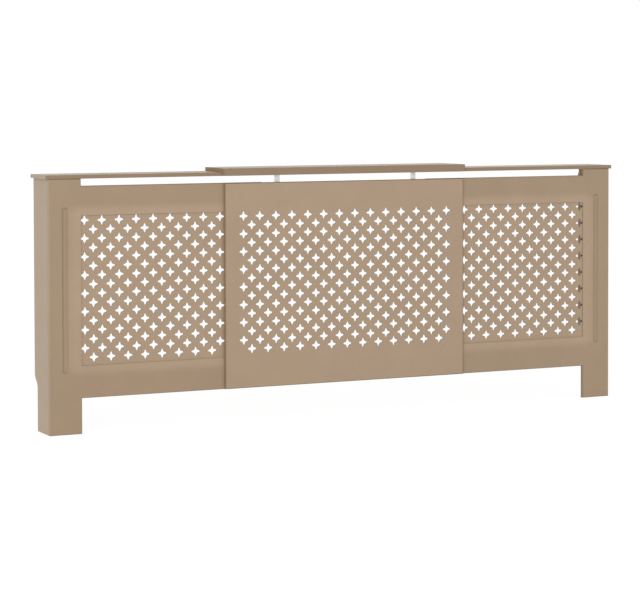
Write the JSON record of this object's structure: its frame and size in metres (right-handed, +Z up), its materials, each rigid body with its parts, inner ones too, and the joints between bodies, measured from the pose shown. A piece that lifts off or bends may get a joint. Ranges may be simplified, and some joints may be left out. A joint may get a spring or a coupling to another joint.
{
  "type": "radiator cover cabinet",
  "caption": "Extending fibreboard radiator cover: a perforated centre panel under its own shelf, and two framed, perforated end units that slide in behind it to fit the width.",
  "frame": {"origin": "on the floor, at the middle of the cover's length and depth, with the cover pulled out to its full width", "axes": "+X to the right along the wall, +Y back towards the wall, +Z up"},
  "size_m": [2.05, 0.162, 0.8151],
  "materials": {
    "raw_fibreboard": "raw medium-density fibreboard, uncoated, matt",
    "softwood": "planed softwood batten, uncoated",
    "zinc_steel": "bright zinc plate, satin"
  },
  "bodies": {
    "centre_unit": {"centre_grille": "raw_fibreboard", "centre_lip": "raw_fibreboard", "centre_shelf": "raw_fibreboard", "left_strap": "zinc_steel", "right_strap": "zinc_steel", "top_guide_spacer": "softwood", "top_guide_keeper": "softwood", "bottom_guide_spacer": "softwood", "bottom_guide_keeper": "softwood", "shelf_spacer": "raw_fibreboard", "shelf_runner_bar": "zinc_steel", "left_strap_screw_upper": "zinc_steel", "left_strap_screw_lower": "zinc_steel", "right_strap_screw_upper": "zinc_steel", "right_strap_screw_lower": "zinc_steel", "top_keeper_screw_left": "zinc_steel", "top_keeper_screw_right": "zinc_steel", "bottom_keeper_screw_left": "zinc_steel", "bottom_keeper_screw_right": "zinc_steel", "shelf_runner_screw_left": "zinc_steel", "shelf_runner_screw_right": "zinc_steel"},
    "left_unit": {"left_front_frame": "raw_fibreboard", "left_grille": "raw_fibreboard", "left_side_panel": "raw_fibreboard", "left_shelf": "raw_fibreboard", "left_corner_batten": "raw_fibreboard", "left_shelf_cleat": "raw_fibreboard", "left_wall_batten": "raw_fibreboard", "left_wall_bracket": "zinc_steel", "left_bracket_screw": "zinc_steel"},
    "right_unit": {"right_front_frame": "raw_fibreboard", "right_grille": "raw_fibreboard", "right_side_panel": "raw_fibreboard", "right_shelf": "raw_fibreboard", "right_corner_batten": "raw_fibreboard", "right_shelf_cleat": "raw_fibreboard", "right_wall_batten": "raw_fibreboard", "right_wall_bracket": "zinc_steel", "right_bracket_screw": "zinc_steel"}
  },
  "joints": [
    {"name": "left_slide", "type": "slide", "parent": "centre_unit", "child": "left_unit", "axis": [1, 0, 0], "range_m": [0, 0.265]},
    {"name": "right_slide", "type": "slide", "parent": "centre_unit", "child": "right_unit", "axis": [-1, 0, 0], "range_m": [0, 0.265]}
  ]
}
